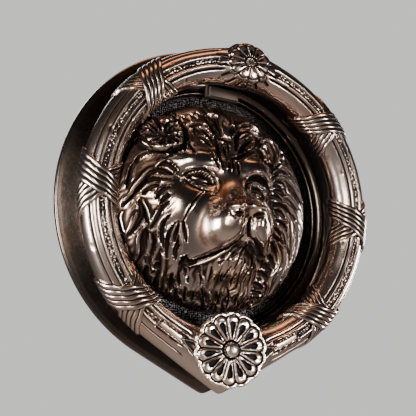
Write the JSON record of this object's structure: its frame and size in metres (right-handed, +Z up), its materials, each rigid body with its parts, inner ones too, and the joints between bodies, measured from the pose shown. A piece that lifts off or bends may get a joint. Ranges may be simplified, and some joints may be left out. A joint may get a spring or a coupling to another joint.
{
  "type": "door knocker",
  "caption": "Ring door knocker: teardrop back plate with a lion mask, and a ribbon-bound ring with a flower at its foot that swings from a top hinge and strikes the plate.",
  "frame": {"origin": "centre of the back plate's round part, on the door face", "axes": "+Y into the door, -Y out of the door towards the caller, +Z up, +X to the caller's right"},
  "size_m": [0.171, 0.1012, 0.1809],
  "materials": {
    "plate_bronze": "antique bronze patina, satin, darker in the recesses",
    "mask_bronze": "polished high spots over near-black patina in the carved lines",
    "ring_bronze": "polished cast bronze with pitted, blackened channels",
    "bright_brass": "worn bright brass with dark engraved slots",
    "dark_fixings": "darkened brass machine screws",
    "zinc_steel": "zinc-plated, lightly brushed"
  },
  "bodies": {
    "plate": {"back_plate": "plate_bronze", "lion_head": "mask_bronze", "mask_screw_1": "dark_fixings", "mask_screw_2": "dark_fixings", "mask_screw_3": "dark_fixings", "hinge_bracket": "plate_bronze", "bracket_screw_left": "dark_fixings", "bracket_screw_right": "dark_fixings", "hinge_pin": "zinc_steel", "pin_retainer": "zinc_steel", "anvil_button": "bright_brass", "mounting_stud_upper": "zinc_steel", "mounting_stud_lower": "zinc_steel", "stud_washer_upper": "zinc_steel", "stud_washer_lower": "zinc_steel", "stud_nut_upper": "zinc_steel", "stud_nut_lower": "zinc_steel"},
    "ring": {"knocker_ring": "ring_bronze", "lower_rosette": "bright_brass", "striker_rivet": "bright_brass"}
  },
  "joints": [
    {"name": "ring_swing", "type": "hinge", "parent": "plate", "child": "ring", "pos_m": [0, -0.0146, 0.0725], "axis": [-1, 0, 0], "range_deg": [0, 95]}
  ]
}
